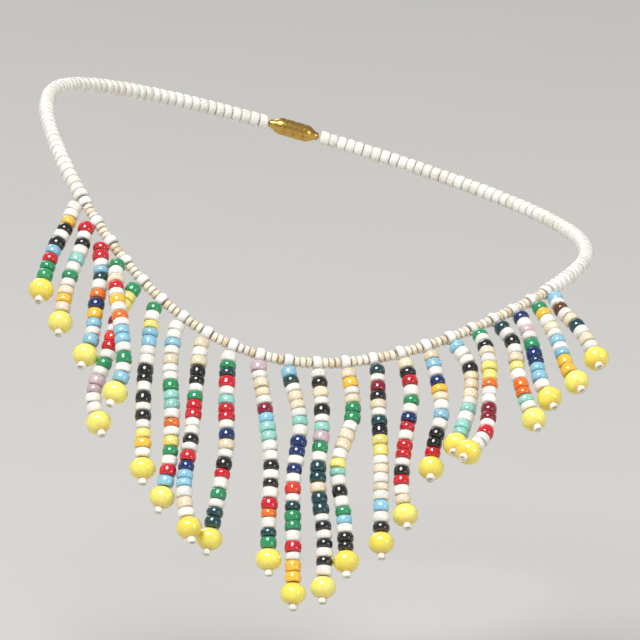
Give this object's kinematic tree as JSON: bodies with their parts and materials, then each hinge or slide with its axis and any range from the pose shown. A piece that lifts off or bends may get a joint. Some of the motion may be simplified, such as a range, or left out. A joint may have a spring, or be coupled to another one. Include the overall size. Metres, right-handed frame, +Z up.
{
  "type": "bib necklace",
  "caption": "Short beaded neck loop with a fringe of multicoloured seed-bead strings fanning over the chest, each ending in a yellow bead; kept in its worn form.",
  "frame": {"origin": "middle of the neck, at the height where the loop crosses the nape", "axes": "+Z up the neck, -Y the way the wearer faces, +X to the wearer's left"},
  "size_m": [0.1365, 0.1661, 0.1077],
  "materials": {
    "white_seed": "opaque, glossy",
    "cream_bead": "opaque, glossy",
    "mixed_seed": "opaque, glossy, in mixed colours with white between",
    "yellow_bead": "opaque, glossy",
    "thread": "waxed nylon thread",
    "clasp_brass": "polished"
  },
  "bodies": {
    "root": {"base_strand_right": "cream_bead", "base_strand_middle": "cream_bead", "base_strand_left": "cream_bead", "fringe_string_01": "mixed_seed", "fringe_string_02": "mixed_seed", "fringe_string_03": "mixed_seed", "fringe_string_04": "mixed_seed", "fringe_string_05": "mixed_seed", "fringe_string_06": "mixed_seed", "fringe_string_07": "mixed_seed", "fringe_string_08": "mixed_seed", "fringe_string_09": "mixed_seed", "fringe_string_10": "mixed_seed", "fringe_string_11": "mixed_seed", "fringe_string_12": "mixed_seed", "fringe_string_13": "mixed_seed", "fringe_string_14": "mixed_seed", "fringe_string_15": "mixed_seed", "fringe_string_16": "mixed_seed", "fringe_string_17": "mixed_seed", "fringe_string_18": "mixed_seed", "fringe_string_19": "mixed_seed", "fringe_string_20": "mixed_seed", "fringe_string_21": "mixed_seed", "fringe_string_22": "mixed_seed", "end_bead_01": "yellow_bead", "end_bead_02": "yellow_bead", "end_bead_03": "yellow_bead", "end_bead_04": "yellow_bead", "end_bead_05": "yellow_bead", "end_bead_06": "yellow_bead", "end_bead_07": "yellow_bead", "end_bead_08": "yellow_bead", "end_bead_09": "yellow_bead", "end_bead_10": "yellow_bead", "end_bead_11": "yellow_bead", "end_bead_12": "yellow_bead", "end_bead_13": "yellow_bead", "end_bead_14": "yellow_bead", "end_bead_15": "yellow_bead", "end_bead_16": "yellow_bead", "end_bead_17": "yellow_bead", "end_bead_18": "yellow_bead", "end_bead_19": "yellow_bead", "end_bead_20": "yellow_bead", "end_bead_21": "yellow_bead", "end_bead_22": "yellow_bead", "side_strand_right": "white_seed", "side_strand_left": "white_seed", "clasp": "clasp_brass"}
  },
  "joints": []
}
